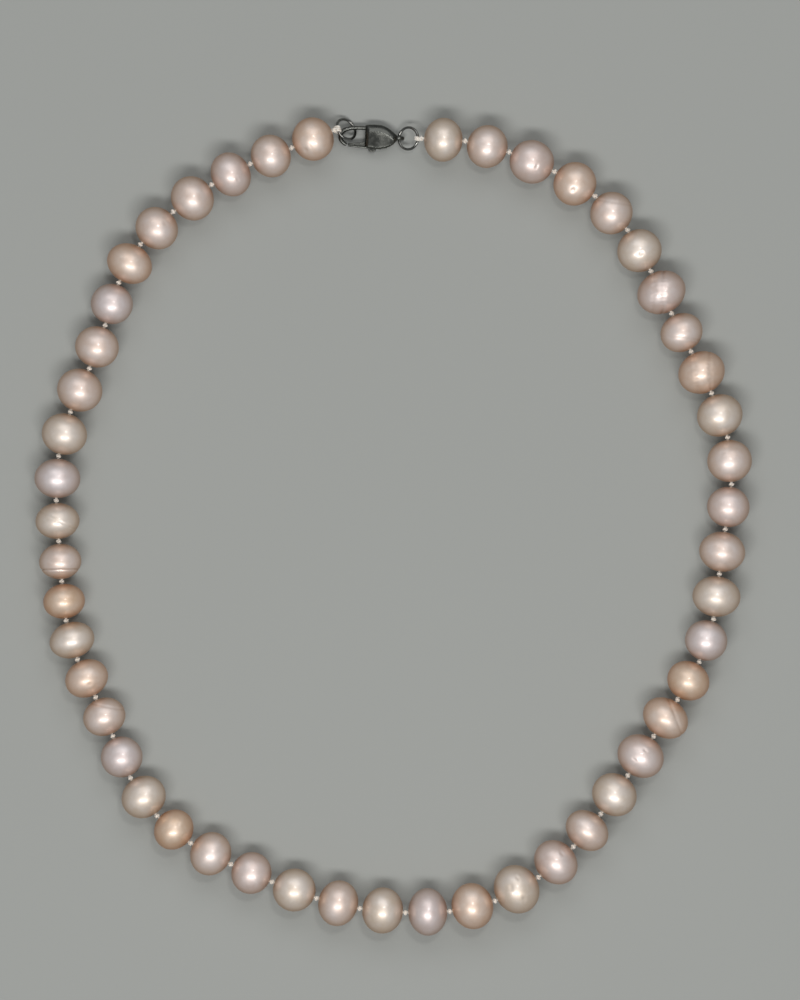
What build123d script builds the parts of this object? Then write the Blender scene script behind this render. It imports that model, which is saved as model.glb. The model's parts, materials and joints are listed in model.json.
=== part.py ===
"""A knotted freshwater pearl necklace, closed and lying flat, with a lobster claw clasp and two jump rings.

+Z is up from the surface the necklace lies on, +Y points across the loop to the clasp, and the origin is
the centre of the loop on that surface.  All sizes are in millimetres.
"""

from build123d import *

import os
from math import cos, radians, sin, sqrt

# ---- The strand: each pearl's drilled length and girth, from the hooked ring round to the tail ring ----
PEARL_SIZES = [
    (8.4, 8.9), (8.0, 8.8), (7.9, 9.2), (8.5, 9.3), (8.4, 9.0), (7.9, 9.5), (8.1, 8.6),
    (8.3, 9.0), (8.6, 9.3), (8.3, 9.3), (8.0, 9.4), (7.3, 9.0), (7.2, 8.6), (7.0, 8.6),
    (7.2, 9.3), (7.5, 9.0), (7.6, 8.8), (8.2, 8.6), (8.4, 9.3), (7.8, 8.5), (8.2, 9.0),
    (8.1, 8.6), (8.6, 8.8), (8.0, 9.4), (8.3, 9.4), (8.0, 9.7), (8.4, 9.5), (9.0, 10.1),
    (8.4, 9.6), (7.7, 9.4), (8.5, 9.4), (8.5, 9.8), (7.9, 9.7), (7.8, 8.8), (8.2, 8.7),
    (8.2, 9.8), (8.1, 9.4), (8.2, 8.7), (8.6, 9.1), (8.5, 9.4), (8.4, 9.7), (7.7, 8.8),
    (8.5, 10.1), (8.6, 9.2), (8.6, 8.8), (8.6, 9.0), (9.0, 8.9), (8.2, 8.8), (7.9, 9.0),
]
STRAND_ROUTE = [
    (-16.4, 77.0), (-24.9, 73.9), (-40.7, 65.4), (-53.3, 52.6), (-59.5, 35.4),
    (-66.4, 18.2), (-67.7, 9.0), (-66.9, -7.6), (-64.8, -23.2), (-58.0, -38.4), (-51.2, -53.6),
    (-44.3, -61.2), (-28.6, -69.7), (-11.8, -75.7), (6.4, -77.5), (15.6, -76.5), (32.4, -67.5),
    (43.9, -54.0), (54.2, -38.4), (62.6, -23.0), (65.4, -5.0), (67.3, 13.0), (61.2, 30.8),
    (53.2, 46.6), (43.7, 62.5), (27.5, 72.7), (18.3, 76.0), (9.6, 77.2),
]
TIE_GAP = 0.65

# ---- Silk and the holes drilled for it ----
BORE_RADIUS = 0.5
SILK_RADIUS = 0.28
KNOT_RADIUS = 0.6
KNOT_LENGTH = 0.7

# ---- Jump rings ----
RING_RADIUS = 2.2
RING_WIRE_RADIUS = 0.27
RING_SEAM_DEG = 3.0
TAIL_RING_TILT_DEG = 31.0
TIE_TURN_OFFSET = 0.2
TIE_CLEARANCE = 0.04

# ---- Lobster claw clasp, on its own flat plane: x from nose to tail, y towards the fixed arm ----
CLASP_HEIGHT = 1.5
CLASP_TURN_DEG = -2.7
CLASP_CENTRE = (-5.8, 77.8)
BODY_THICKNESS = 3.0
BODY_BEVEL = 0.55
HOOK_THICKNESS = 1.2
LEVER_THICKNESS = 0.9
SLOT_WIDTH = 1.0
PIN_CENTRE = (3.0, -0.2)
PIN_RADIUS = 0.4
PIN_FIT = 0.01
LEVER_FIT = 0.04
EYE_CENTRE_X = 6.6
EYE_RADIUS = 1.1
EYE_HOLE_RADIUS = 0.62
EYE_WIDTH = 0.9

SLOT_OUTLINE = [(-0.4, 1.1), (3.3, 1.1), (4.1, 0.4), (4.1, -1.2), (3.2, -1.7), (3.2, -3.0), (-0.4, -3.0)]
LEVER_OUTLINE = [
    (-3.8, -1.47), (-2.6, -1.4), (-0.8, -1.15), (1.6, 0.25), (3.0, 0.5), (3.6, -0.2), (3.0, -0.9),
    (2.5, -1.5), (2.1, -2.4), (2.0, -3.05), (0.7, -3.05), (0.5, -2.35), (-1.4, -2.3), (-3.66, -2.13),
]
LEVER_BOSS_RADIUS = 0.75
SPRING_PATH = [(0.2, 0.85), (1.7, 0.62), (3.0, 0.86)]
SPRING_WIRE_RADIUS = 0.12

UP = Vector(0, 0, 1)


def across(direction, normal):
    """The unit direction nearest to the one given that is square to a unit normal."""
    return (direction - normal * direction.dot(normal)).normalized()


clasp_plane = Plane(
    origin=(CLASP_CENTRE[0], CLASP_CENTRE[1], CLASP_HEIGHT),
    x_dir=(cos(radians(CLASP_TURN_DEG)), sin(radians(CLASP_TURN_DEG)), 0),
    z_dir=(0, 0, 1),
)
east, north = clasp_plane.x_dir, clasp_plane.y_dir
tail_ring_lie = east * cos(radians(TAIL_RING_TILT_DEG)) + UP * sin(radians(TAIL_RING_TILT_DEG))
TAIL_RING_CENTRE = clasp_plane.from_local_coords(Vector(EYE_CENTRE_X, 0, 0)) + tail_ring_lie * RING_RADIUS
TAIL_RING_NORMAL = tail_ring_lie.cross(north)
TAIL_RING_SEAM = east - north
HOOKED_RING_CENTRE = clasp_plane.from_local_coords(Vector(-4.06, 1.30, 0.33))
HOOKED_RING_NORMAL = (east * 0.73 + north * 0.59 + UP).normalized()
HOOKED_RING_SEAM = north - east
hooked_ring_lie = across(Vector(*STRAND_ROUTE[0], HOOKED_RING_CENTRE.Z) - HOOKED_RING_CENTRE, HOOKED_RING_NORMAL)
TIE_TURN_RADIUS = RING_WIRE_RADIUS + TIE_CLEARANCE + SILK_RADIUS
hooked_tie = HOOKED_RING_CENTRE + hooked_ring_lie * (RING_RADIUS + TIE_TURN_RADIUS)
tail_tie = TAIL_RING_CENTRE + tail_ring_lie * (RING_RADIUS + TIE_TURN_RADIUS)


# ---- Where everything on the strand lies ----
with BuildLine() as strand_line:
    Spline((hooked_tie.X, hooked_tie.Y), *STRAND_ROUTE, (tail_tie.X, tail_tie.Y))
strand = strand_line.edge()
strand_length = strand.length
pearls_length = sum(length for length, girth in PEARL_SIZES)
KNOT_GAP = (strand_length - pearls_length - 2 * TIE_GAP) / (len(PEARL_SIZES) - 1)


def strand_point(distance, height):
    flat = strand.position_at(distance, position_mode=PositionMode.LENGTH)
    return Vector(flat.X, flat.Y, height)


def silk_points():
    """The silk's line: its two ties, just outside the end pearls, and between them the middle of every knot.

    A knot is as high as the middle of the larger pearl beside it, so no pearl is lower than its own girth.
    """
    mouth_distance = TIE_GAP - KNOT_GAP / 2
    points = [hooked_tie, strand_point(mouth_distance, PEARL_SIZES[0][1] / 2)]
    distance = TIE_GAP
    for (length, girth), (next_length, next_girth) in zip(PEARL_SIZES, PEARL_SIZES[1:]):
        distance += length + KNOT_GAP
        points.append(strand_point(distance - KNOT_GAP / 2, max(girth, next_girth) / 2))
    points.append(strand_point(strand_length - mouth_distance, PEARL_SIZES[-1][1] / 2))
    points.append(tail_tie)
    return points


silk_line = silk_points()


# ---- The pearls ----
def make_pearl(number):
    """An oblate pearl, drilled through its middle for its stretch of silk."""
    length, girth = PEARL_SIZES[number]
    before, after = silk_line[number + 1], silk_line[number + 2]
    centre = (before + after) * 0.5
    along = after - before
    mouth = length / 2 * sqrt(1 - (2 * BORE_RADIUS / girth) ** 2)
    shoulder = (0.8 * length / 2, 0.6 * girth / 2)
    section = Plane(origin=centre, x_dir=along, z_dir=along.cross(UP))
    with BuildPart() as pearl:
        with BuildSketch(section):
            with BuildLine():
                Spline(
                    (-mouth, BORE_RADIUS), (-shoulder[0], shoulder[1]), (0, girth / 2), shoulder,
                    (mouth, BORE_RADIUS),
                )
                Line((mouth, BORE_RADIUS), (-mouth, BORE_RADIUS))
            make_face()
        revolve(axis=Axis(centre, along))
    return pearl


# ---- The silk, one cord from ring to ring with a knot between every two pearls ----
def tie_turns(wire_centre, outward, along_wire):
    """Where the silk's two turns lie round a ring's wire, side by side."""
    return [
        Plane(origin=wire_centre + along_wire * offset, x_dir=outward, z_dir=along_wire).location
        for offset in (-TIE_TURN_OFFSET, TIE_TURN_OFFSET)
    ]


def make_silk():
    """The cord along the whole strand, its knots, and its two turns round each ring."""
    hooked_wire = HOOKED_RING_CENTRE + hooked_ring_lie * RING_RADIUS
    tail_wire = TAIL_RING_CENTRE + tail_ring_lie * RING_RADIUS
    hooked_turns = tie_turns(hooked_wire, hooked_ring_lie, HOOKED_RING_NORMAL.cross(hooked_ring_lie))
    tail_turns = tie_turns(tail_wire, tail_ring_lie, north)
    with BuildPart() as silk:
        for start, end in zip(silk_line, silk_line[1:]):
            with BuildSketch(Plane(origin=start, z_dir=end - start)):
                Circle(SILK_RADIUS)
            extrude(amount=(end - start).length)
        for before, knot, after in zip(silk_line[1:], silk_line[2:-2], silk_line[3:]):
            with Locations(Plane(origin=knot, z_dir=after - before).location):
                Cylinder(KNOT_RADIUS, KNOT_LENGTH)
        with Locations(*hooked_turns, *tail_turns):
            Torus(TIE_TURN_RADIUS, SILK_RADIUS)
    return silk


# ---- Jump rings: round wire bent to a circle, closed at a fine butt seam ----
def make_ring(centre, normal, seam_towards):
    """A ring whose seam faces as near to seam_towards as the ring's plane allows."""
    seam = across(seam_towards, normal)
    seam_edge = seam.rotate(Axis((0, 0, 0), normal), RING_SEAM_DEG / 2)
    section = Plane(origin=centre + seam_edge * RING_RADIUS, x_dir=seam_edge, z_dir=normal.cross(seam_edge))
    with BuildPart() as ring:
        with BuildSketch(section):
            Circle(RING_WIRE_RADIUS)
        revolve(axis=Axis(centre, normal), revolution_arc=360 - RING_SEAM_DEG)
    return ring


# ---- Lobster claw clasp ----
def make_clasp_body():
    """The leaf-shaped body, its fixed arm and nose, and the eye for the tail ring, in one casting."""
    with BuildPart() as body:
        with BuildSketch(clasp_plane):
            with BuildLine():
                Line((-0.2, -2.25), (-0.2, 2.3))
                Spline((-0.2, 2.3), (1.6, 2.5), (4.0, 2.15), (6.2, 0.5), tangents=((1, 0.15), (0.75, -1)))
                Line((6.2, 0.5), (6.2, -0.5))
                Spline((6.2, -0.5), (4.6, -2.05), (2.6, -2.5), (-0.2, -2.25), tangents=((-0.75, -1), (-1, 0.15)))
            make_face()
        extrude(amount=BODY_THICKNESS / 2, both=True)
        rims = body.faces().filter_by(Axis.Z).edges()
        chamfer(rims, BODY_BEVEL)
        with BuildSketch(clasp_plane):
            with BuildLine():
                Line((0.4, 2.1), (0.4, 1.3))
                Spline(
                    (0.4, 1.3), (-1.6, 1.3), (-3.3, 1.15), (-4.4, 0.75), (-4.75, 0.0), (-4.55, -0.8), (-3.9, -1.43),
                    tangents=((-1, 0), (1, -0.6)),
                )
                Line((-3.9, -1.43), (-3.74, -2.13))
                Spline(
                    (-3.74, -2.13), (-4.75, -1.8), (-5.35, -1.0), (-5.55, 0.1), (-5.15, 1.2), (-3.7, 1.95),
                    (-1.8, 2.05), (0.4, 2.1), tangents=((-1, 0.1), (1, 0)),
                )
            make_face()
        extrude(amount=HOOK_THICKNESS / 2, both=True)
        eye_side = Plane(
            origin=clasp_plane.from_local_coords((EYE_CENTRE_X, 0, 0)), x_dir=clasp_plane.x_dir, z_dir=clasp_plane.y_dir
        )
        with BuildSketch(eye_side):
            Circle(EYE_RADIUS)
            Rectangle(EYE_RADIUS + 0.9, EYE_RADIUS * 1.5, align=(Align.MAX, Align.CENTER))
        extrude(amount=EYE_WIDTH / 2, both=True)
        with BuildSketch(eye_side):
            Circle(EYE_HOLE_RADIUS)
        extrude(amount=EYE_WIDTH, both=True, mode=Mode.SUBTRACT)
        with BuildSketch(clasp_plane):
            with BuildLine():
                Polyline(*SLOT_OUTLINE, close=True)
            make_face()
        extrude(amount=SLOT_WIDTH / 2, both=True, mode=Mode.SUBTRACT)
        with BuildSketch(clasp_plane):
            with Locations(PIN_CENTRE):
                Circle(PIN_RADIUS + PIN_FIT)
        extrude(amount=BODY_THICKNESS, both=True, mode=Mode.SUBTRACT)
    return body


def make_lever():
    """The gate that closes the claw, with its thumb tab below and its boss round the pin."""
    with BuildPart() as lever:
        with BuildSketch(clasp_plane):
            with BuildLine():
                Polyline(*LEVER_OUTLINE, close=True)
            make_face()
            with Locations(PIN_CENTRE):
                Circle(LEVER_BOSS_RADIUS)
        extrude(amount=LEVER_THICKNESS / 2, both=True)
        with BuildSketch(clasp_plane):
            with Locations(PIN_CENTRE):
                Circle(PIN_RADIUS + LEVER_FIT)
        extrude(amount=LEVER_THICKNESS, both=True, mode=Mode.SUBTRACT)
    return lever


def make_pin():
    with BuildPart() as pin:
        with BuildSketch(clasp_plane):
            with Locations(PIN_CENTRE):
                Circle(PIN_RADIUS)
        extrude(amount=BODY_THICKNESS / 2, both=True)
    return pin


def make_spring():
    """A bowed wire in the slot's roof that pushes down on the lever behind the gate."""
    ends = [clasp_plane.from_local_coords((x, y, 0)) for x, y in SPRING_PATH]
    with BuildPart() as spring:
        with BuildLine() as path:
            ThreePointArc(*ends)
        with BuildSketch(Plane(origin=ends[0], z_dir=path.edge() % 0)):
            Circle(SPRING_WIRE_RADIUS)
        sweep()
    return spring


def save(builder, name):
    builder.part.label = name
    export_step(builder.part, f"parts/{name}.step")


def main():
    os.makedirs("parts", exist_ok=True)
    for number in range(len(PEARL_SIZES)):
        save(make_pearl(number), f"pearl_{number + 1:02d}")
    save(make_silk(), "silk_strand")
    save(make_clasp_body(), "clasp_body")
    save(make_lever(), "clasp_lever")
    save(make_pin(), "lever_pin")
    save(make_spring(), "lever_spring")
    save(make_ring(HOOKED_RING_CENTRE, HOOKED_RING_NORMAL, HOOKED_RING_SEAM), "hooked_ring")
    save(make_ring(TAIL_RING_CENTRE, TAIL_RING_NORMAL, TAIL_RING_SEAM), "tail_ring")
    print(f"silk {strand_length:.1f} mm, pearls {pearls_length:.1f} mm, gap at a knot {KNOT_GAP:.2f} mm")


main()
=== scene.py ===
"""A knotted freshwater pearl necklace with a lobster claw clasp, lying closed on a plain surface."""

import json
from math import cos, pi, radians, sin, sqrt
import bmesh
import bpy
from mathutils import Matrix, Vector, noise


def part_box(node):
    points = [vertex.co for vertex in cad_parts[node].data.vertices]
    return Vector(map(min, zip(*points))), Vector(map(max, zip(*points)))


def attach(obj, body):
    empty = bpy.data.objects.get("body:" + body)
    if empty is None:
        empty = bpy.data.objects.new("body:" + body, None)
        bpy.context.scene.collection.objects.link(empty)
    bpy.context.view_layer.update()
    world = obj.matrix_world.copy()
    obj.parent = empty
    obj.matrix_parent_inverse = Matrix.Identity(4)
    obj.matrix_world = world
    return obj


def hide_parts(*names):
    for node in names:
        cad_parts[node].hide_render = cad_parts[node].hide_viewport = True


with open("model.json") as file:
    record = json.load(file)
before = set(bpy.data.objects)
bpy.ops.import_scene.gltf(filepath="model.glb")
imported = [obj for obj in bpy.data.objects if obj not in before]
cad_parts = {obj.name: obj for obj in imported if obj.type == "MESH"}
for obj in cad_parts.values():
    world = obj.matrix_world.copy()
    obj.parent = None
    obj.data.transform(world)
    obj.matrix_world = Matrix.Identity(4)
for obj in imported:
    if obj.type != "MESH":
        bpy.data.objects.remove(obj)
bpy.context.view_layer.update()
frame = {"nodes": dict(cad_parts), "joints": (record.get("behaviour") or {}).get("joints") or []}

MM = 0.001
UP = Vector((0, 0, 1))
PEARL_COUNT = 49
HOLE_RADIUS = 0.5 * MM
SILK_RADIUS = 0.24 * MM
RING_RADIUS = 2.2 * MM
RING_WIRE = 0.27 * MM
RING_SEAM_DEG = 3.0

joints = {joint["name"]: joint for joint in frame["joints"]}


def joint_point(name):
    return Vector(joints[name]["pos_m"])


def joint_axis(name):
    return Vector(joints[name]["axis"]).normalized()


def middle(node):
    low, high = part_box(node)
    return (low + high) / 2


def across(direction, normal):
    """The unit direction nearest to the one given that is square to a unit normal."""
    return (direction - normal * direction.dot(normal)).normalized()


def facing(origin, z_axis, x_axis):
    """A matrix that puts a piece made at the origin on that place, its +Z along z_axis and +X near x_axis."""
    z_axis = z_axis.normalized()
    x_axis = across(x_axis, z_axis)
    turned = Matrix((x_axis, z_axis.cross(x_axis), z_axis)).transposed()
    return Matrix.Translation(origin) @ turned.to_4x4()


# ---- Camera, floor and lights ----
def make_camera():
    """Straight above the loop, with the loop's own height a touch below the middle of the picture."""
    camera = bpy.data.objects.new("camera", bpy.data.cameras.new("camera"))
    bpy.context.scene.collection.objects.link(camera)
    camera.location = (0.0010, 0.0050, 1.60)
    camera.data.sensor_fit = "VERTICAL"
    camera.data.sensor_height = 24.0
    camera.data.lens = 24.0 * (camera.location.z - 0.0045) / 0.200
    camera.data.clip_start = 0.01
    bpy.context.scene.camera = camera


def make_light(name, location, size, size_y, power, colour, aim=(0, 0, 0)):
    light = bpy.data.objects.new(name, bpy.data.lights.new(name, "AREA"))
    bpy.context.scene.collection.objects.link(light)
    light.data.shape = "RECTANGLE"
    light.data.size = size
    light.data.size_y = size_y
    light.data.energy = power
    light.data.color = colour
    light.location = location
    away = Vector(location) - Vector(aim)
    light.rotation_euler = away.to_track_quat("Z", "Y").to_euler()


def make_surroundings():
    scene = bpy.context.scene
    scene.view_settings.view_transform = "Standard"
    world = bpy.data.worlds.new("studio")
    world.use_nodes = True
    world.node_tree.nodes["Background"].inputs["Color"].default_value = (0.93, 0.97, 1.0, 1)
    world.node_tree.nodes["Background"].inputs["Strength"].default_value = 0.20
    scene.world = world
    make_light("window", (-0.03, -0.40, 1.00), 0.85, 0.20, 6.2, (1.0, 0.99, 0.985))
    make_light("north_panel", (0.0, 0.95, 1.10), 1.50, 0.75, 4.6, (0.985, 0.985, 1.0))
    make_light("lamp", (0.14, 0.27, 1.05), 0.16, 0.12, 1.3, (1.0, 0.99, 0.98))

    bm = bmesh.new()
    bmesh.ops.create_grid(bm, x_segments=1, y_segments=1, size=1.2)
    mesh = bpy.data.meshes.new("floor")
    bm.to_mesh(mesh)
    bm.free()
    floor = bpy.data.objects.new("floor", mesh)
    scene.collection.objects.link(floor)
    mesh.materials.append(paper())


# ---- Materials ----
class Shelf:
    """Adds nodes to one tree and joins their sockets."""

    def __init__(self, tree):
        self.tree = tree

    def add(self, kind, settings=None, **inputs):
        node = self.tree.nodes.new(kind)
        for key, value in (settings or {}).items():
            setattr(node, key, value)
        for key, value in inputs.items():
            self.put(node.inputs[key.replace("_", " ")], value)
        return node

    def put(self, socket, value):
        if isinstance(value, bpy.types.NodeSocket):
            self.tree.links.new(value, socket)
        else:
            socket.default_value = value

    def mix(self, factor, first, second, blend="MIX"):
        node = self.add("ShaderNodeMix", {"data_type": "RGBA", "blend_type": blend})
        self.put(node.inputs[0], factor)
        self.put(node.inputs[6], first)
        self.put(node.inputs[7], second)
        return node.outputs[2]

    def math(self, operation, first, second=0.0):
        node = self.add("ShaderNodeMath", {"operation": operation})
        self.put(node.inputs[0], first)
        self.put(node.inputs[1], second)
        return node.outputs[0]

    def span(self, value, low, high, to_low=0.0, to_high=1.0):
        node = self.add("ShaderNodeMapRange", {"clamp": True})
        for socket, number in zip(node.inputs, (value, low, high, to_low, to_high)):
            self.put(socket, number)
        return node.outputs[0]

    def noise(self, scale, detail=3.0, rough=0.5, stretch=(1, 1, 1)):
        place = self.add("ShaderNodeTexCoord").outputs["Object"]
        if stretch != (1, 1, 1):
            place = self.add("ShaderNodeMapping", Vector=place, Scale=stretch).outputs[0]
        node = self.add("ShaderNodeTexNoise", Vector=place, Scale=scale, Detail=detail, Roughness=rough)
        return node.outputs["Fac"]


def new_group(name, inputs, outputs):
    """An empty node group with those sockets, its shelf, and its input and output nodes."""
    group = bpy.data.node_groups.new(name, "ShaderNodeTree")
    for label, kind in inputs:
        group.interface.new_socket(label, in_out="INPUT", socket_type=kind)
    for label, kind in outputs:
        group.interface.new_socket(label, in_out="OUTPUT", socket_type=kind)
    shelf = Shelf(group)
    return group, shelf, shelf.add("NodeGroupInput"), shelf.add("NodeGroupOutput")


COLOUR, NUMBER = "NodeSocketColor", "NodeSocketFloat"
NACRE_CLOUD_SCALE = 260.0


def nacre_skin_group():
    """Cloudy nacre: drifts of two tints, fine pale mottling, and faint growth ripples for the bump."""
    group, shelf, given, out = new_group(
        "nacre_skin",
        [("Body", COLOUR), ("Drift", COLOUR), ("Freckle", COLOUR), ("Cloud Scale", NUMBER)],
        [("Color", COLOUR), ("Roughness", NUMBER), ("Height", NUMBER)],
    )
    clouds = shelf.span(shelf.noise(given.outputs["Cloud Scale"], 3.0, 0.55), 0.36, 0.66)
    fine = shelf.noise(1500.0, 4.0, 0.6)
    skin = shelf.mix(clouds, given.outputs["Body"], given.outputs["Drift"])
    skin = shelf.mix(shelf.span(fine, 0.50, 0.72, 0.0, 0.18), skin, given.outputs["Freckle"])
    ripples = shelf.noise(620.0, 2.0, 0.5)
    shelf.put(out.inputs["Color"], skin)
    shelf.put(out.inputs["Roughness"], shelf.span(fine, 0.3, 0.7, 0.42, 0.50))
    height = shelf.math("ADD", shelf.math("MULTIPLY", ripples, 0.8), shelf.math("MULTIPLY", fine, 0.25))
    shelf.put(out.inputs["Height"], height)
    return group


def metal_wear_group():
    """Plated metal handled daily: cloudy polish and hairline scratches, paler where they catch."""
    group, shelf, given, out = new_group(
        "metal_wear",
        [("Plate", COLOUR), ("Worn", COLOUR), ("Polish", NUMBER)],
        [("Color", COLOUR), ("Roughness", NUMBER), ("Height", NUMBER)],
    )
    clouds = shelf.noise(900.0, 3.0, 0.6)
    hairs = shelf.noise(1400.0, 2.0, 0.5, stretch=(0.35, 3.2, 1.0))
    worn = shelf.math("MULTIPLY", shelf.span(hairs, 0.56, 0.72), shelf.span(clouds, 0.4, 0.7))
    shelf.put(out.inputs["Color"], shelf.mix(worn, given.outputs["Plate"], given.outputs["Worn"]))
    hazed = shelf.span(clouds, 0.35, 0.7, 0.0, 0.12)
    shelf.put(out.inputs["Roughness"], shelf.math("ADD", given.outputs["Polish"], hazed))
    shelf.put(out.inputs["Height"], hairs)
    return group


def new_material(name):
    """A material with its shelf and its Principled shader."""
    material = bpy.data.materials.new(name)
    material.use_nodes = True
    return material, Shelf(material.node_tree), material.node_tree.nodes["Principled BSDF"]


def colour(red, green, blue):
    """A colour given as it looks on a screen, 0 to 255, made linear."""
    steps = [c / 255 for c in (red, green, blue)]
    return tuple(c / 12.92 if c <= 0.04045 else ((c + 0.055) / 1.055) ** 2.4 for c in steps) + (1.0,)


def nacre(name, body, drift, freckle, painted_rim_shade):
    """Pearl nacre: deep satin under a clear gloss. Towards its outline, where it turns away, its colour goes
    over to a fuller, darker tan, a painted shade that stands in for the dark floor reflected there.
    """
    material, shelf, shader = new_material(name)
    skin = shelf.add("ShaderNodeGroup", {"node_tree": bpy.data.node_groups["nacre_skin"]})
    tints = {"Body": body, "Drift": drift, "Freckle": freckle, "Cloud Scale": NACRE_CLOUD_SCALE}
    for label, value in tints.items():
        shelf.put(skin.inputs[label], value)
    # Painted shade: the colour turns darker tan towards the outline, where it stands in for the dark floor
    # reflected at grazing angles.
    turned = shelf.add("ShaderNodeLayerWeight", Blend=0.46).outputs["Facing"]
    painted_rim_mask = shelf.span(turned, 0.14, 0.72)
    shelf.put(shader.inputs["Base Color"], shelf.mix(painted_rim_mask, skin.outputs["Color"], painted_rim_shade))
    shelf.put(shader.inputs["Roughness"], skin.outputs["Roughness"])
    bump = shelf.add("ShaderNodeBump", Strength=0.07, Distance=0.00010, Height=skin.outputs["Height"])
    shelf.put(shader.inputs["Normal"], bump.outputs[0])
    shader.inputs["Metallic"].default_value = 0.5
    shader.inputs["Specular IOR Level"].default_value = 0.75
    shader.inputs["Coat Weight"].default_value = 0.36
    shader.inputs["Coat Roughness"].default_value = 0.12
    shader.inputs["Coat IOR"].default_value = 1.62
    shader.inputs["Sheen Weight"].default_value = 0.10
    shader.inputs["Sheen Tint"].default_value = colour(255, 232, 224)
    return material


def plated_metal(name, plate, worn, polish):
    material, shelf, shader = new_material(name)
    wear = shelf.add("ShaderNodeGroup", {"node_tree": bpy.data.node_groups["metal_wear"]})
    for label, value in (("Plate", plate), ("Worn", worn), ("Polish", polish)):
        shelf.put(wear.inputs[label], value)
    shelf.put(shader.inputs["Base Color"], wear.outputs["Color"])
    shelf.put(shader.inputs["Roughness"], wear.outputs["Roughness"])
    bump = shelf.add("ShaderNodeBump", Strength=0.12, Distance=0.00004, Height=wear.outputs["Height"])
    shelf.put(shader.inputs["Normal"], bump.outputs[0])
    shader.inputs["Metallic"].default_value = 1.0
    return material


def silk_thread():
    """Off-white silk, its plies showing as fine slanting ridges."""
    material, shelf, shader = new_material("silk_thread")
    place = shelf.add("ShaderNodeTexCoord").outputs["Object"]
    plies = shelf.add(
        "ShaderNodeTexWave", {"bands_direction": "DIAGONAL"},
        Vector=place, Scale=900.0, Distortion=2.0, Detail=2.0,
    ).outputs["Fac"]
    fluff = shelf.noise(2600.0, 3.0, 0.6)
    tint = shelf.mix(plies, colour(222, 210, 194), colour(252, 246, 236))
    pale = shelf.span(fluff, 0.4, 0.7, 0.0, 0.5)
    shelf.put(shader.inputs["Base Color"], shelf.mix(pale, tint, colour(255, 252, 246)))
    shelf.put(shader.inputs["Roughness"], shelf.span(fluff, 0.3, 0.7, 0.5, 0.7))
    bump = shelf.add("ShaderNodeBump", Strength=0.5, Distance=0.00006, Height=plies)
    shelf.put(shader.inputs["Normal"], bump.outputs[0])
    shader.inputs["Sheen Weight"].default_value = 0.4
    return material


def paper():
    """A plain matt sheet, barely uneven."""
    material, shelf, shader = new_material("paper")
    drift = shelf.noise(9.0, 2.0, 0.5)
    shelf.put(shader.inputs["Base Color"], shelf.mix(drift, colour(162, 164, 160), colour(166, 168, 164)))
    shelf.put(shader.inputs["Roughness"], shelf.span(drift, 0.3, 0.7, 0.86, 0.92))
    return material


nacre_skin_group()
metal_wear_group()
# Each tint of nacre: its body, the drift across it, its pale freckles, and the painted rim shade, a darker tan
# where it turns away that stands in for the dark floor reflected there.
NACRE_TINTS = {
    "champagne": ((243, 228, 220), (236, 214, 200), (250, 242, 236), (178, 140, 108)),
    "cream": ((243, 231, 220), (235, 218, 200), (250, 244, 236), (176, 144, 112)),
    "peach": ((243, 224, 210), (236, 208, 186), (250, 238, 228), (184, 138, 100)),
    "rose": ((242, 227, 221), (234, 213, 203), (249, 240, 237), (176, 138, 112)),
    "lavender": ((240, 229, 227), (232, 216, 211), (248, 242, 242), (172, 140, 120)),
    "amber": ((240, 217, 196), (230, 198, 168), (248, 234, 218), (182, 130, 86)),
}
NACRES = {
    look: nacre(f"nacre_{look}", *(colour(*tint) for tint in tints))
    for look, tints in NACRE_TINTS.items()
}
SILK = silk_thread()
CLASP_METAL = plated_metal("clasp_plate", colour(92, 93, 89), colour(118, 118, 113), 0.20)
RING_METAL = plated_metal("ring_plate", colour(132, 132, 128), colour(176, 176, 170), 0.14)
SPRING_STEEL = plated_metal("spring_steel", colour(170, 170, 168), colour(200, 200, 198), 0.25)

LOOKS = {
    "amber": (14, 20, 34), "peach": (1, 6, 16, 27, 41, 46, 33), "lavender": (11, 26, 35, 18, 7),
    "rose": (3, 22, 32, 38, 43, 47, 29), "cream": (10, 12, 15, 19, 25, 28, 31, 36, 40, 44, 49, 23),
}


def look_of(number):
    """The tint that a pearl has."""
    return next((look for look, numbers in LOOKS.items() if number in numbers), "champagne")


# ---- Finishing a piece ----
def finish_piece(bm, name, body, material, nodes=()):
    """The bmesh as a named piece that rides its body and stands for those CAD nodes."""
    bmesh.ops.recalc_face_normals(bm, faces=bm.faces[:])
    mesh = bpy.data.meshes.new(name)
    bm.to_mesh(mesh)
    bm.free()
    mesh.polygons.foreach_set("use_smooth", [True] * len(mesh.polygons))
    mesh.materials.append(material)
    piece = bpy.data.objects.new(name, mesh)
    bpy.context.scene.collection.objects.link(piece)
    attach(piece, body)
    if nodes:
        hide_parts(*nodes)
    return piece


def join_in(bm, other):
    """Copies one bmesh's geometry into another and frees it."""
    mesh = bpy.data.meshes.new("joined")
    other.to_mesh(mesh)
    other.free()
    bm.from_mesh(mesh)
    bpy.data.meshes.remove(mesh)


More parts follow.
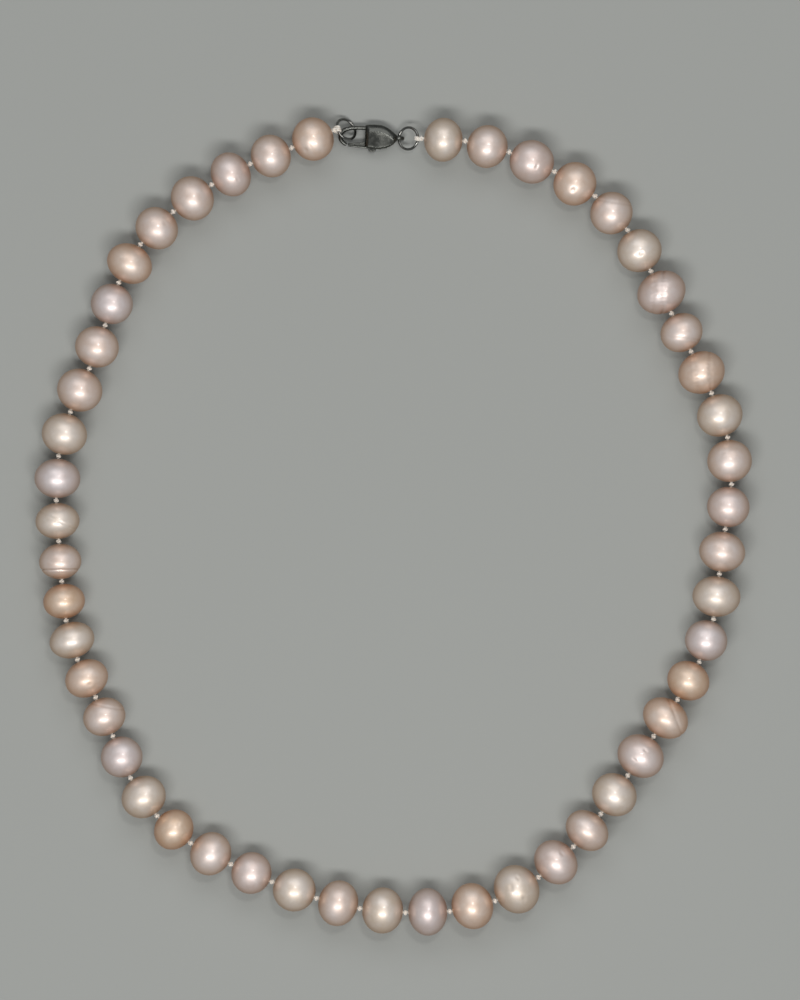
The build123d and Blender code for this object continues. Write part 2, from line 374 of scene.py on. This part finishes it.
# ---- Pearls ----
# Marks seen from above, each at (east, north) as a share of the pearl's half width.
# A dimple has a place, a radius and a depth; a furrow is a line across the pearl with a heading,
# an offset, a half width and a depth.
DIMPLES = {
    1: [(-0.35, -0.55, 0.16, 0.03), (-0.1, -0.4, 0.1, 0.02)],
    5: [(0.45, 0.2, 0.14, 0.02)],
    16: [(0.2, -0.3, 0.2, 0.02)],
    20: [(0.25, 0.3, 0.12, 0.02)],
    28: [(-0.25, 0.1, 0.16, 0.03), (0.3, -0.35, 0.12, 0.035), (0.05, 0.5, 0.12, 0.03)],
    29: [(0.3, 0.45, 0.16, 0.03)],
    32: [(0.2, 0.3, 0.1, 0.05), (-0.3, -0.15, 0.08, 0.04)],
    44: [(0.05, -0.15, 0.14, 0.05)],
    46: [(-0.1, -0.32, 0.16, 0.05)],
    47: [(0.2, -0.25, 0.12, 0.04)],
    3: [(0.35, -0.25, 0.12, 0.02)],
    39: [(-0.4, 0.35, 0.18, 0.02)],
}
FURROWS = {
    12: [(58, 0.05, 0.05, 0.03)],
    13: [(90, -0.46, 0.045, 0.07)],
    17: [(75, 0.55, 0.05, 0.025)],
    33: [(15, 0.45, 0.09, 0.03)],
    41: [(5, 0.35, 0.06, 0.03), (8, -0.3, 0.05, 0.02)],
    42: [(80, -0.3, 0.04, 0.02)],
    43: [(2, 0.05, 0.07, 0.045), (0, -0.35, 0.05, 0.025)],
    45: [(80, 0.5, 0.05, 0.02)],
}


def sunk(number, direction):
    """How far the skin lies inside a smooth pearl there, as a share of its half width."""
    seed = Vector((number * 3.7, number * 1.3, number * 5.1))
    depth = 0.012 * (1 + noise.noise(direction * 1.1 + seed))
    depth += 0.004 * (1 + noise.noise(direction * 3.4 + seed))
    topward = max(0.0, min(1.0, direction.z * 2 + 0.6))
    for east, north, radius, deep in DIMPLES.get(number, ()):
        place = Vector((east, north, sqrt(max(0.0, 1 - east * east - north * north))))
        depth += deep * max(0.0, 1 - ((direction - place).length / radius) ** 2) ** 2
    for heading, offset, half_width, deep in FURROWS.get(number, ()):
        across_line = direction.x * cos(radians(heading)) + direction.y * sin(radians(heading)) - offset
        depth += deep * max(0.0, 1 - (across_line / half_width) ** 2) ** 2 * topward
    return depth


def knot_place(number):
    """The middle of the knot between pearl number and the next one."""
    bend = f"strand_bend_{number:02d}"
    return joint_point(bend if bend in joints else f"strand_lift_{number:02d}")


def run_ends(number):
    """Where the silk enters and leaves the pearl's own stretch: its two knots, or its mouth at either end."""
    centre = middle(f"pearl_{number:02d}")
    before = knot_place(number - 1) if number > 1 else centre * 2 - knot_place(1)
    after = knot_place(number) if number < PEARL_COUNT else centre * 2 - knot_place(PEARL_COUNT - 1)
    return before, after


def pearl_halves(number, along):
    """Half the pearl's drilled length and half its girth."""
    low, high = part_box(f"pearl_{number:02d}")
    half = (high - low) / 2
    girth = half.z
    if abs(along.x) > abs(along.y):
        square = (half.x ** 2 - girth ** 2 * (1 - along.x ** 2)) / along.x ** 2
    else:
        square = (half.y ** 2 - girth ** 2 * (1 - along.y ** 2)) / along.y ** 2
    return sqrt(square), girth


def make_pearl(number):
    """A pearl with its drilled hole, dimples and furrows."""
    node = f"pearl_{number:02d}"
    before, after = run_ends(number)
    along = (after - before).normalized()
    length, girth = pearl_halves(number, along)
    marked = number in DIMPLES or number in FURROWS
    rows = 64 if marked else 44
    place = facing(middle(node), along, UP)
    turn = place.to_3x3()
    bm = bmesh.new()
    bmesh.ops.create_uvsphere(bm, u_segments=rows, v_segments=rows, radius=1.0)
    near_pole = [v for v in bm.verts if sqrt(v.co.x ** 2 + v.co.y ** 2) * girth < HOLE_RADIUS * 1.05]
    bmesh.ops.delete(bm, geom=near_pole, context="VERTS")
    for vertex in bm.verts:
        share = 1 - sunk(number, (turn @ vertex.co).normalized())
        vertex.co = Vector((vertex.co.x * girth, vertex.co.y * girth, vertex.co.z * length)) * share
    rims = [edge for edge in bm.edges if edge.is_boundary]
    for vertex in {v for edge in rims for v in edge.verts}:
        flat = Vector((vertex.co.x, vertex.co.y, 0)).normalized() * HOLE_RADIUS
        vertex.co = Vector((flat.x, flat.y, vertex.co.z))
    bmesh.ops.bridge_loops(bm, edges=rims)
    bmesh.ops.transform(bm, matrix=place, verts=bm.verts)
    finish_piece(bm, f"nacre_{number:02d}", node, NACRES[look_of(number)], [node])


# ---- Silk ----
def knot_mesh():
    """A tight overhand knot about the origin, its cord running along Z."""
    curve = bpy.data.curves.new("knot", "CURVE")
    curve.dimensions = "3D"
    curve.bevel_depth = 0.185 * MM
    curve.bevel_resolution = 2
    curve.resolution_u = 3
    spline = curve.splines.new("NURBS")
    turns = 15
    spline.points.add(turns - 1)
    for step, point in enumerate(spline.points):
        t = 2 * pi * step / turns
        lobe = (2 + cos(3 * t)) * 0.155 * MM
        point.co = (lobe * cos(2 * t), lobe * sin(2 * t), 0.235 * MM * sin(3 * t), 1)
    spline.order_u = 4
    spline.use_cyclic_u = True
    holder = bpy.data.objects.new("knot", curve)
    mesh = bpy.data.meshes.new_from_object(holder)
    bpy.data.objects.remove(holder)
    return mesh


def tube(bm, start, end, radius, sides=12):
    """A closed straight tube between two points."""
    run = end - start
    place = facing((start + end) / 2, run, UP if abs(run.normalized().z) < 0.9 else Vector((1, 0, 0)))
    bmesh.ops.create_cone(
        bm, cap_ends=True, segments=sides, radius1=radius, radius2=radius, depth=run.length, matrix=place
    )


def hoop(centre, normal, start, radius, wire, arc=2 * pi, steps=72, sides=16):
    """A round wire bent about a centre, from the direction start; capped where it doesn't close."""
    bm = bmesh.new()
    section = facing(centre + start * radius, normal.cross(start), start)
    ring = bmesh.ops.create_circle(bm, segments=sides, radius=wire, matrix=section)
    edges = list({edge for vertex in ring["verts"] for edge in vertex.link_edges})
    closed = arc > 2 * pi - 0.001
    bmesh.ops.spin(
        bm, geom=ring["verts"] + edges, cent=centre, axis=normal, angle=arc, steps=steps, use_merge=closed
    )
    if not closed:
        bmesh.ops.holes_fill(bm, edges=[edge for edge in bm.edges if edge.is_boundary])
    return bm


def make_silk(number, knot):
    """The silk in one pearl, with the knot between it and the next one; not yet finished as a piece."""
    before, after = run_ends(number)
    bm = bmesh.new()
    tube(bm, before, after, SILK_RADIUS)
    if number < PEARL_COUNT:
        tied = bmesh.new()
        tied.from_mesh(knot)
        run = after - before
        place = facing(after, run, UP) @ Matrix.Rotation(number * 1.9, 4, "Z")
        bmesh.ops.transform(tied, matrix=place, verts=tied.verts)
        join_in(bm, tied)
    return bm


def make_tie(bm, mouth, wire_centre, outward, along_wire, turns, knot):
    """Turns of silk round a ring's wire, and the cord and end knot that lead from them into the pearl."""
    wrap = RING_WIRE + SILK_RADIUS * 0.9
    for turn in range(turns):
        slide = (turn - (turns - 1) / 2) * SILK_RADIUS * 1.7
        lean = (along_wire + outward * 0.16).normalized()
        loop = hoop(
            wire_centre + along_wire * slide, lean, across(outward, lean), wrap, SILK_RADIUS, steps=28, sides=10
        )
        join_in(bm, loop)
    leave = wire_centre + outward * wrap
    tube(bm, leave, mouth, SILK_RADIUS * 1.15)
    tied = bmesh.new()
    tied.from_mesh(knot)
    bmesh.ops.transform(tied, matrix=facing(mouth, mouth - leave, along_wire), verts=tied.verts)
    join_in(bm, tied)


# ---- Clasp ----
NORTH = joint_axis("clasp_swing")
EAST = Vector((NORTH.y, -NORTH.x, 0))
EYE_CENTRE = joint_point("clasp_swing")
EYE_FROM_MIDDLE = 6.6 * MM
CLASP_FRAME = facing(EYE_CENTRE - EAST * EYE_FROM_MIDDLE, UP, EAST)
LEAF = [
    (-0.2, -2.2), (-0.2, -0.7), (-0.2, 0.8), (-0.2, 2.28), (0.8, 2.44), (1.9, 2.48), (3.0, 2.4), (4.0, 2.1),
    (4.9, 1.55), (5.6, 0.98), (6.2, 0.5), (6.2, -0.5), (5.6, -1.2), (4.9, -1.75), (4.0, -2.2), (3.0, -2.42),
    (1.9, -2.45), (0.8, -2.35),
]
SPINE = [
    (-0.15, 1.1), (-0.15, 2.2), (1.9, 2.4), (3.9, 2.0), (6.1, 0.45), (6.1, -0.45), (4.6, -1.9), (4.1, -1.2),
    (4.1, 0.4), (3.3, 1.1),
]
# The bar of the arm and nose, each point at (east, north) with its share of the bar's full width.
HOOK_PATH = [
    (0.6, 1.72, 0.80), (-0.6, 1.72, 0.80), (-1.9, 1.68, 0.80), (-3.1, 1.58, 0.82), (-4.25, 1.25, 0.90),
    (-5.05, 0.45, 0.98), (-5.12, -0.45, 0.98), (-4.78, -1.2, 0.88), (-4.2, -1.62, 0.76), (-3.86, -1.8, 0.62),
]
HOOK_HALF_WIDTH = 0.44
HOOK_HEIGHT_TO_WIDTH = 1.35
CHEEK_INNER, CHEEK_SHOULDER = 0.48, 0.78
CHEEK_STEPS = ((0.10, 0.16), (0.20, 0.22), (0.34, 0.26))
CHEEK_FACE_SHARE = 0.877
GATE_HALF_THICKNESS = 0.44
EYE_RING, EYE_WIRE, EYE_STRETCH = 0.86, 0.25, 1.55
GATE = [
    (-3.68, -1.5), (-2.6, -1.42), (-0.8, -1.15), (1.6, 0.2), (2.4, 0.35), (3.2, 0.4), (3.6, -0.2), (3.0, -0.85),
    (2.45, -1.5), (2.15, -2.3), (2.0, -2.85), (1.65, -3.04), (1.0, -3.04), (0.68, -2.85), (0.5, -2.38),
    (-1.4, -2.3), (-3.55, -2.12),
]


def plate(outline, bottom, top):
    """A flat closed plate with that outline, between two heights, in the clasp's own millimetres."""
    bm = bmesh.new()
    corners = [bm.verts.new((x, y, bottom)) for x, y in outline]
    face = bm.faces.new(corners)
    raised = bmesh.ops.extrude_face_region(bm, geom=[face])["geom"]
    corners = [v for v in raised if isinstance(v, bmesh.types.BMVert)]
    bmesh.ops.translate(bm, verts=corners, vec=(0, 0, top - bottom))
    bmesh.ops.recalc_face_normals(bm, faces=bm.faces[:])
    return bm


def cheek(side):
    """One cheek of the body: a leaf whose broad sloping shoulder faces the fixed arm."""
    bm = plate(LEAF, CHEEK_INNER, CHEEK_SHOULDER)
    top = max(bm.faces, key=lambda face: face.calc_center_median().z)
    for width, rise in CHEEK_STEPS:
        bmesh.ops.inset_region(bm, faces=[top], thickness=width, depth=rise, use_even_offset=True)
    south_rim = min(vertex.co.y for vertex in top.verts)
    from_rim = Matrix.Translation((0, -south_rim, 0))
    bmesh.ops.scale(bm, vec=(1, CHEEK_FACE_SHARE, 1), space=from_rim, verts=top.verts)
    bmesh.ops.translate(bm, verts=top.verts, vec=(0.05, -0.34, 0.05))
    ridge = list(top.edges)
    bmesh.ops.bevel(
        bm, geom=ridge, offset=0.07, offset_type="OFFSET", segments=3, profile=0.5, affect="EDGES", material=-1
    )
    lower = [edge for edge in bm.edges if all(v.co.z < 0.5 for v in edge.verts)]
    bmesh.ops.bevel(
        bm, geom=lower, offset=0.05, offset_type="OFFSET", segments=2, profile=0.5, affect="EDGES", material=-1
    )
    bmesh.ops.scale(bm, vec=(1, 1, side), verts=bm.verts)
    bmesh.ops.recalc_face_normals(bm, faces=bm.faces[:])
    return bm


def hook_bar():
    """The fixed arm and the nose that curls round to the gate, as one rounded tapering bar."""
    curve = bpy.data.curves.new("hook", "CURVE")
    curve.dimensions = "3D"
    curve.bevel_depth = HOOK_HALF_WIDTH
    curve.bevel_resolution = 5
    curve.resolution_u = 8
    curve.use_fill_caps = True
    spline = curve.splines.new("NURBS")
    spline.points.add(len(HOOK_PATH) - 1)
    for point, (x, y, width) in zip(spline.points, HOOK_PATH):
        point.co = (x, y, 0, 1)
        point.radius = width * 1.12
    spline.order_u = 3
    spline.use_endpoint_u = True
    holder = bpy.data.objects.new("hook", curve)
    mesh = bpy.data.meshes.new_from_object(holder)
    bpy.data.objects.remove(holder)
    bm = bmesh.new()
    bm.from_mesh(mesh)
    bmesh.ops.remove_doubles(bm, verts=bm.verts, dist=0.001)
    bmesh.ops.scale(bm, vec=(1, 1, HOOK_HEIGHT_TO_WIDTH), verts=bm.verts)
    return bm


def place_clasp_piece(bm, name, body, nodes):
    bmesh.ops.transform(bm, matrix=CLASP_FRAME @ Matrix.Scale(MM, 4), verts=bm.verts)
    return finish_piece(bm, name, body, CLASP_METAL, nodes)


def sharpen(piece, angle=38):
    """Smooth shading that keeps the piece's hard edges."""
    piece.data.set_sharp_from_angle(angle=radians(angle))


def make_clasp():
    bm = cheek(1)
    join_in(bm, cheek(-1))
    join_in(bm, plate(SPINE, -0.5, 0.5))
    join_in(bm, hook_bar())
    eye_middle = Vector((EYE_FROM_MIDDLE / MM, 0, 0))
    eye = hoop(eye_middle, Vector((0, 1, 0)), Vector((-1, 0, 0)), EYE_RING, EYE_WIRE, steps=40, sides=14)
    bmesh.ops.scale(eye, vec=(1, EYE_STRETCH, 1), verts=eye.verts)
    join_in(bm, eye)
    sharpen(place_clasp_piece(bm, "claw_casting", "clasp_body", ["clasp_body"]))

    gate = plate(GATE, -GATE_HALF_THICKNESS, GATE_HALF_THICKNESS)
    rims = [edge for edge in gate.edges if abs(edge.verts[0].co.z - edge.verts[1].co.z) < 0.01]
    bmesh.ops.bevel(
        gate, geom=rims, offset=0.17, offset_type="OFFSET", segments=4, profile=0.5, affect="EDGES", material=-1
    )
    sharpen(place_clasp_piece(gate, "claw_gate", "clasp_lever", ["clasp_lever"]))
    frame["nodes"]["lever_pin"].data.materials[0] = CLASP_METAL
    frame["nodes"]["lever_spring"].data.materials[0] = SPRING_STEEL


# ---- Jump rings ----
def make_ring(node, centre, normal, seam_towards):
    """A jump ring with a fine butt seam."""
    seam = across(seam_towards, normal)
    gap = radians(RING_SEAM_DEG)
    start = Matrix.Rotation(gap / 2, 3, normal) @ seam
    bm = hoop(centre, normal, start, RING_RADIUS, RING_WIRE, arc=2 * pi - gap, steps=96, sides=18)
    sharpen(finish_piece(bm, f"{node}_wire", node, RING_METAL, [node]), 50)


def make_everything():
    for number in range(1, PEARL_COUNT + 1):
        make_pearl(number)
    knot = knot_mesh()
    tail_wire = joint_point("tail_ring_swing")
    tail_centre = (tail_wire + EYE_CENTRE) / 2
    tail_out = (tail_wire - EYE_CENTRE).normalized()
    hooked_centre, hooked_normal = joint_point("hooked_ring_turn"), joint_axis("hooked_ring_turn")
    to_pearl = middle("pearl_01") - hooked_centre
    hooked_out = across(Vector((to_pearl.x, to_pearl.y, 0)), hooked_normal)
    for number in range(1, PEARL_COUNT + 1):
        bm = make_silk(number, knot)
        if number == 1:
            wire = hooked_centre + hooked_out * RING_RADIUS
            make_tie(bm, run_ends(1)[0], wire, hooked_out, hooked_normal.cross(hooked_out), 3, knot)
        if number == PEARL_COUNT:
            make_tie(bm, run_ends(PEARL_COUNT)[1], tail_wire, tail_out, NORTH, 2, knot)
        nodes = ["silk_strand"] if number == 1 else []
        finish_piece(bm, f"silk_{number:02d}", f"pearl_{number:02d}", SILK, nodes)
    make_clasp()
    make_ring("tail_ring", tail_centre, tail_out.cross(NORTH).normalized(), EAST - NORTH)
    make_ring("hooked_ring", hooked_centre, hooked_normal, NORTH - EAST)


make_camera()
make_surroundings()
make_everything()
